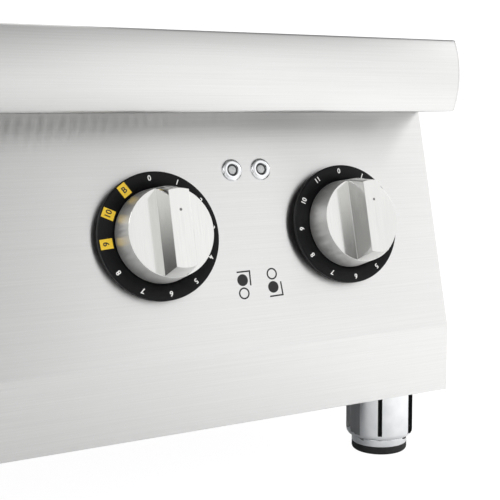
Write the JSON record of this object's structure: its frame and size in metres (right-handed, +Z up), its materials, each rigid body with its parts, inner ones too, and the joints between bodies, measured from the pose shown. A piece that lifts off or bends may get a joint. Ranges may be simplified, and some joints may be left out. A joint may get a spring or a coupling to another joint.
{
  "type": "countertop electric induction cooktop",
  "caption": "Stainless countertop induction cooker: bullnose worktop with black glass cooking surface, sloping control panel with rotary knobs, and adjustable chrome feet.",
  "frame": {"origin": "centre of the overall footprint, on the floor under the feet", "axes": "+Z up, +X to the right as the user faces the controls, front (control panel) towards -Y"},
  "size_m": [0.6, 0.6898, 0.3],
  "materials": {
    "stainless": "brushed",
    "chrome": "polished",
    "knob_metal": "satin",
    "dial_black": "glossy, printed",
    "lens": "clear",
    "rubber": "matte",
    "glass_ceramic": "polished",
    "silicone": "matte",
    "copper": "enamelled wire",
    "former_plastic": "matte",
    "ferrite": "matte",
    "mica": "matte",
    "sensor_white": "matte",
    "sensor_silicone": "matte",
    "aluminium": "mill",
    "board_green": "lacquered",
    "component_dark": "sleeved",
    "fan_plastic": "matte",
    "terminal_plastic": "matte",
    "gland_plastic": "matte",
    "brass_nut": "nickel plated",
    "steel": "turned",
    "zinc": "plated"
  },
  "bodies": {
    "chassis": {"worktop": "stainless", "bullnose_end_caps": "stainless", "control_panel": "stainless", "side_panel_left": "stainless", "side_panel_right": "stainless", "rear_panel": "stainless", "base_plate": "zinc", "glass_plate": "glass_ceramic", "glass_seal": "silicone", "glass_support_frame": "stainless", "coil_winding_front_left": "copper", "coil_winding_front_right": "copper", "coil_winding_rear_left": "copper", "coil_winding_rear_right": "copper", "coil_formers": "former_plastic", "ferrite_bars": "ferrite", "mica_sheets": "mica", "zone_sensors": "sensor_white", "sensor_bushes": "sensor_silicone", "coil_tray": "aluminium", "generator_boards": "board_green", "heat_sinks": "aluminium", "power_components": "component_dark", "fan_frames": "fan_plastic", "filter_board": "board_green", "terminal_block": "terminal_plastic", "cable_gland": "gland_plastic", "gland_locknut": "brass_nut", "control_board": "board_green", "dial_plate_1": "dial_black", "dial_plate_2": "dial_black", "dial_plate_3": "dial_black", "dial_plate_4": "dial_black", "selector_bodies": "fan_plastic", "selector_nuts": "zinc", "lamp_bezels": "chrome", "lamp_lenses": "lens", "foot_sleeves": "chrome", "filter_rails": "stainless", "casing_screws": "zinc"},
    "fan_left": {"fan_rotor_left": "fan_plastic"},
    "fan_right": {"fan_rotor_right": "fan_plastic"},
    "knob_1": {"knob_1": "knob_metal", "selector_shaft_1": "steel"},
    "knob_2": {"knob_2": "knob_metal", "selector_shaft_2": "steel"},
    "knob_3": {"knob_3": "knob_metal", "selector_shaft_3": "steel"},
    "knob_4": {"knob_4": "knob_metal", "selector_shaft_4": "steel"},
    "foot_1": {"foot_insert_1": "chrome", "foot_pad_1": "rubber"},
    "foot_2": {"foot_insert_2": "chrome", "foot_pad_2": "rubber"},
    "foot_3": {"foot_insert_3": "chrome", "foot_pad_3": "rubber"},
    "foot_4": {"foot_insert_4": "chrome", "foot_pad_4": "rubber"},
    "filter": {"filter_cassette": "aluminium", "filter_mesh": "aluminium"}
  },
  "joints": [
    {"name": "knob_1_turn", "type": "hinge", "parent": "chassis", "child": "knob_1", "pos_m": [-0.22, -0.29892, 0.17325], "axis": [0, 0.9724, -0.2334], "range_deg": [0, 330]},
    {"name": "knob_2_turn", "type": "hinge", "parent": "chassis", "child": "knob_2", "pos_m": [-0.08, -0.29892, 0.17325], "axis": [0, 0.9724, -0.2334], "range_deg": [0, 330]},
    {"name": "knob_3_turn", "type": "hinge", "parent": "chassis", "child": "knob_3", "pos_m": [0.08, -0.29892, 0.17325], "axis": [0, 0.9724, -0.2334], "range_deg": [0, 330]},
    {"name": "knob_4_turn", "type": "hinge", "parent": "chassis", "child": "knob_4", "pos_m": [0.22, -0.29892, 0.17325], "axis": [0, 0.9724, -0.2334], "range_deg": [0, 330]},
    {"name": "fan_left_spin", "type": "hinge", "parent": "chassis", "child": "fan_left", "pos_m": [-0.14, 0.00887, 0.0542], "axis": [0, 0, 1], "continuous": true},
    {"name": "fan_right_spin", "type": "hinge", "parent": "chassis", "child": "fan_right", "pos_m": [0.14, 0.00887, 0.0542], "axis": [0, 0, 1], "continuous": true},
    {"name": "foot_1_height", "type": "slide", "parent": "chassis", "child": "foot_1", "axis": [0, 0, 1], "range_m": [-0.025, 0]},
    {"name": "foot_2_height", "type": "slide", "parent": "chassis", "child": "foot_2", "axis": [0, 0, 1], "range_m": [-0.025, 0]},
    {"name": "foot_3_height", "type": "slide", "parent": "chassis", "child": "foot_3", "axis": [0, 0, 1], "range_m": [-0.025, 0]},
    {"name": "foot_4_height", "type": "slide", "parent": "chassis", "child": "foot_4", "axis": [0, 0, 1], "range_m": [-0.025, 0]},
    {"name": "filter_slide", "type": "slide", "parent": "chassis", "child": "filter", "axis": [0, -1, 0], "range_m": [0, 0.25]}
  ]
}
